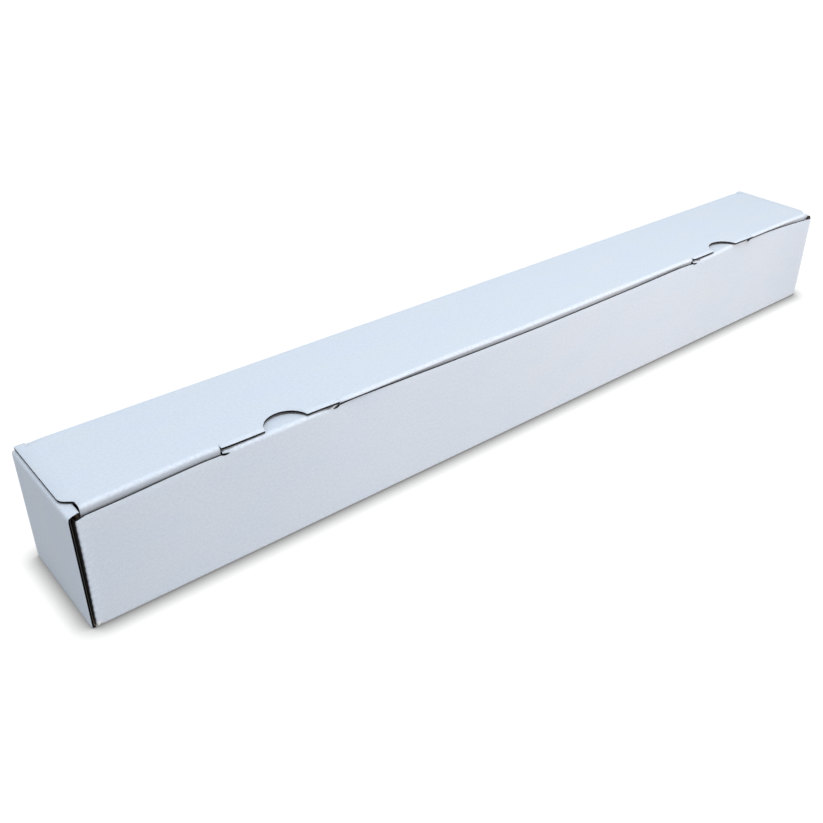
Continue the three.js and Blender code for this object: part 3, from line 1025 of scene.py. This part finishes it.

# The strip over the crease that joins them
HINGE_BEND = (LID_TOP - HINGE_RADIUS, LID_TOP - HINGE_RADIUS + HINGE_RADIUS * math.pi / 2)
hinge_end = HINGE_BEND[1] + WALL_Y - HINGE_RADIUS - (WALL_Y - BOARD - SEAM_REACH)
hinge_loop = [(-HINGE_X, WALL_SEAM), (HINGE_X, WALL_SEAM), (HINGE_X, hinge_end), (-HINGE_X, hinge_end)]
hinge_sheet = Sheet(
    "hinge_crease", [hinge_loop], fold_hinge, True,
    cross_creases=[], long_creases=[sum(HINGE_BEND) / 2], seams=[WALL_SEAM, hinge_end],
)
bend_lines = np.linspace(*HINGE_BEND, HINGE_STEPS + 1).tolist()
hinge_flat = flat_mesh(
    hinge_sheet.loops, grid_lines(-HINGE_X, HINGE_X, LINER_STEP_U, []),
    grid_lines(WALL_SEAM, hinge_end, FLUTE_PITCH / LINER_FLUTE_STEPS, bend_lines), (), STRIP_MARGIN)
for side, outer, inner, materials, slots in (
        ("outer", 0, LINER, [white, kraft, shaded_raw_edge], (0, 1, 2)),
        ("inner", BOARD - LINER, BOARD, [kraft], (0, 0, 0))):
    strip = hinge_sheet.mesh(f"hinge_crease_{side}", hinge_flat, depth(outer), depth(inner), slots)
    finish(strip, materials)
    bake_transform(strip)

# The camera stands where the photograph was taken from
CAMERA_PLACE = Vector((-639.0, -613.7, 534.5)) * METRE
CAMERA_AHEAD = Vector((0.5416, 0.6487, -0.5347)).normalized()
CAMERA_RIGHT = Vector((0.7723, -0.6351, 0.0119))
FOCAL_SHARE = 946.2 / 823      # focal length as a share of the picture's width
SENSOR = 36.0

right = (CAMERA_RIGHT - CAMERA_AHEAD * CAMERA_RIGHT.dot(CAMERA_AHEAD)).normalized()
camera_data = bpy.data.cameras.new("photo_camera")
camera_data.sensor_width = SENSOR
camera_data.lens = SENSOR * FOCAL_SHARE
camera_data.clip_start = 0.01
camera = bpy.data.objects.new("photo_camera", camera_data)
camera.matrix_world = Matrix.Translation(CAMERA_PLACE) @ Matrix(
    (right, right.cross(CAMERA_AHEAD), -CAMERA_AHEAD)).transposed().to_4x4()
bpy.context.scene.collection.objects.link(camera)
bpy.context.scene.camera = camera


def seen_directly(tree):
    """1 for rays that come straight from the camera or off something glossy or clear."""
    path = tree.nodes.new("ShaderNodeLightPath")
    value = path.outputs["Is Camera Ray"]
    for other in ("Is Glossy Ray", "Is Transmission Ray"):
        node = tree.nodes.new("ShaderNodeMath")
        node.operation = "MAXIMUM"
        tree.links.new(value, node.inputs[0])
        tree.links.new(path.outputs[other], node.inputs[1])
        value = node.outputs[0]
    return value


def floor_paper():
    """White paper that shows as pure white where it is fully lit, and keeps the shadow of the box."""
    material = bpy.data.materials.new("floor_paper")
    material.use_nodes = True
    tree = material.node_tree
    tree.nodes.clear()

    node = tree.nodes.new
    plain = node("ShaderNodeBsdfDiffuse")
    plain.inputs["Color"].default_value = (*FLOOR_ALBEDO, 1)
    contact = node("ShaderNodeAmbientOcclusion")
    contact.inputs["Distance"].default_value = CONTACT_REACH
    contact.samples = CONTACT_SAMPLES
    shares = []
    for whole in (FLOOR_GLOW, FLOOR_LIT):
        share = node("ShaderNodeMapRange")
        share.inputs["From Min"].default_value = FLOOR_NARROW
        share.inputs["To Min"].default_value = whole * FLOOR_CLOSE
        share.inputs["To Max"].default_value = whole
        tree.links.new(contact.outputs["AO"], share.inputs["Value"])
        shares.append(share)
    glow = node("ShaderNodeEmission")
    lit = node("ShaderNodeBsdfDiffuse")
    both = node("ShaderNodeAddShader")
    chosen = node("ShaderNodeMixShader")
    output = node("ShaderNodeOutputMaterial")
    for source, target, socket in (
            (shares[0], glow, 1), (shares[1], lit, 0), (glow, both, 0), (lit, both, 1),
            (plain, chosen, 1), (both, chosen, 2), (chosen, output, 0)):
        tree.links.new(source.outputs[0], target.inputs[socket])
    tree.links.new(seen_directly(tree), chosen.inputs[0])
    return material


mesh = bpy.data.meshes.new("floor")
floor_corners = [(FLOOR_REACH * x, FLOOR_REACH * y, 0) for x, y in ((-1, -1), (1, -1), (1, 1), (-1, 1))]
mesh.from_pydata(floor_corners, [], [(0, 1, 2, 3)])
mesh.materials.append(floor_paper())
floor = bpy.data.objects.new("floor", mesh)
floor.location.z = -FLOOR_DROP
bpy.context.scene.collection.objects.link(floor)


def studio_world():
    """Even pale light from all round, which shows as pure white behind the box."""
    world = bpy.data.worlds.new("studio")
    world.use_nodes = True
    tree = world.node_tree
    light = tree.nodes["Background"]
    light.inputs["Color"].default_value = (*SKY_COLOUR, 1)
    light.inputs["Strength"].default_value = SKY_STRENGTH
    backdrop = tree.nodes.new("ShaderNodeBackground")
    backdrop.inputs["Color"].default_value = (1, 1, 1, 1)
    chosen = tree.nodes.new("ShaderNodeMixShader")
    tree.links.new(seen_directly(tree), chosen.inputs[0])
    tree.links.new(light.outputs[0], chosen.inputs[1])
    tree.links.new(backdrop.outputs[0], chosen.inputs[2])
    tree.links.new(chosen.outputs[0], tree.nodes["World Output"].inputs[0])
    return world


def add_lamp(name, place, aim, size, power, colour):
    light = bpy.data.lights.new(name, "AREA")
    light.shape = "DISK"
    light.size = size
    light.energy = power
    light.color = colour
    lamp = bpy.data.objects.new(name, light)
    lamp.location = place
    lamp.rotation_euler = (Vector(aim) - Vector(place)).to_track_quat("-Z", "Y").to_euler()
    lamp.visible_camera = False
    bpy.context.scene.collection.objects.link(lamp)


bpy.context.scene.world = studio_world()
add_lamp("overhead_softbox", place=(-0.10, -0.6, 2.1), aim=(0, 0, 0.05),
         size=1.5, power=19.4, colour=(0.86, 0.93, 1.0))
add_lamp("right_softbox", place=(0.27, -0.90, 0.34), aim=(0.16, 0, 0.05),
         size=0.4, power=2.3, colour=(1.0, 0.87, 0.78))
bpy.context.scene.view_settings.view_transform = "Standard"
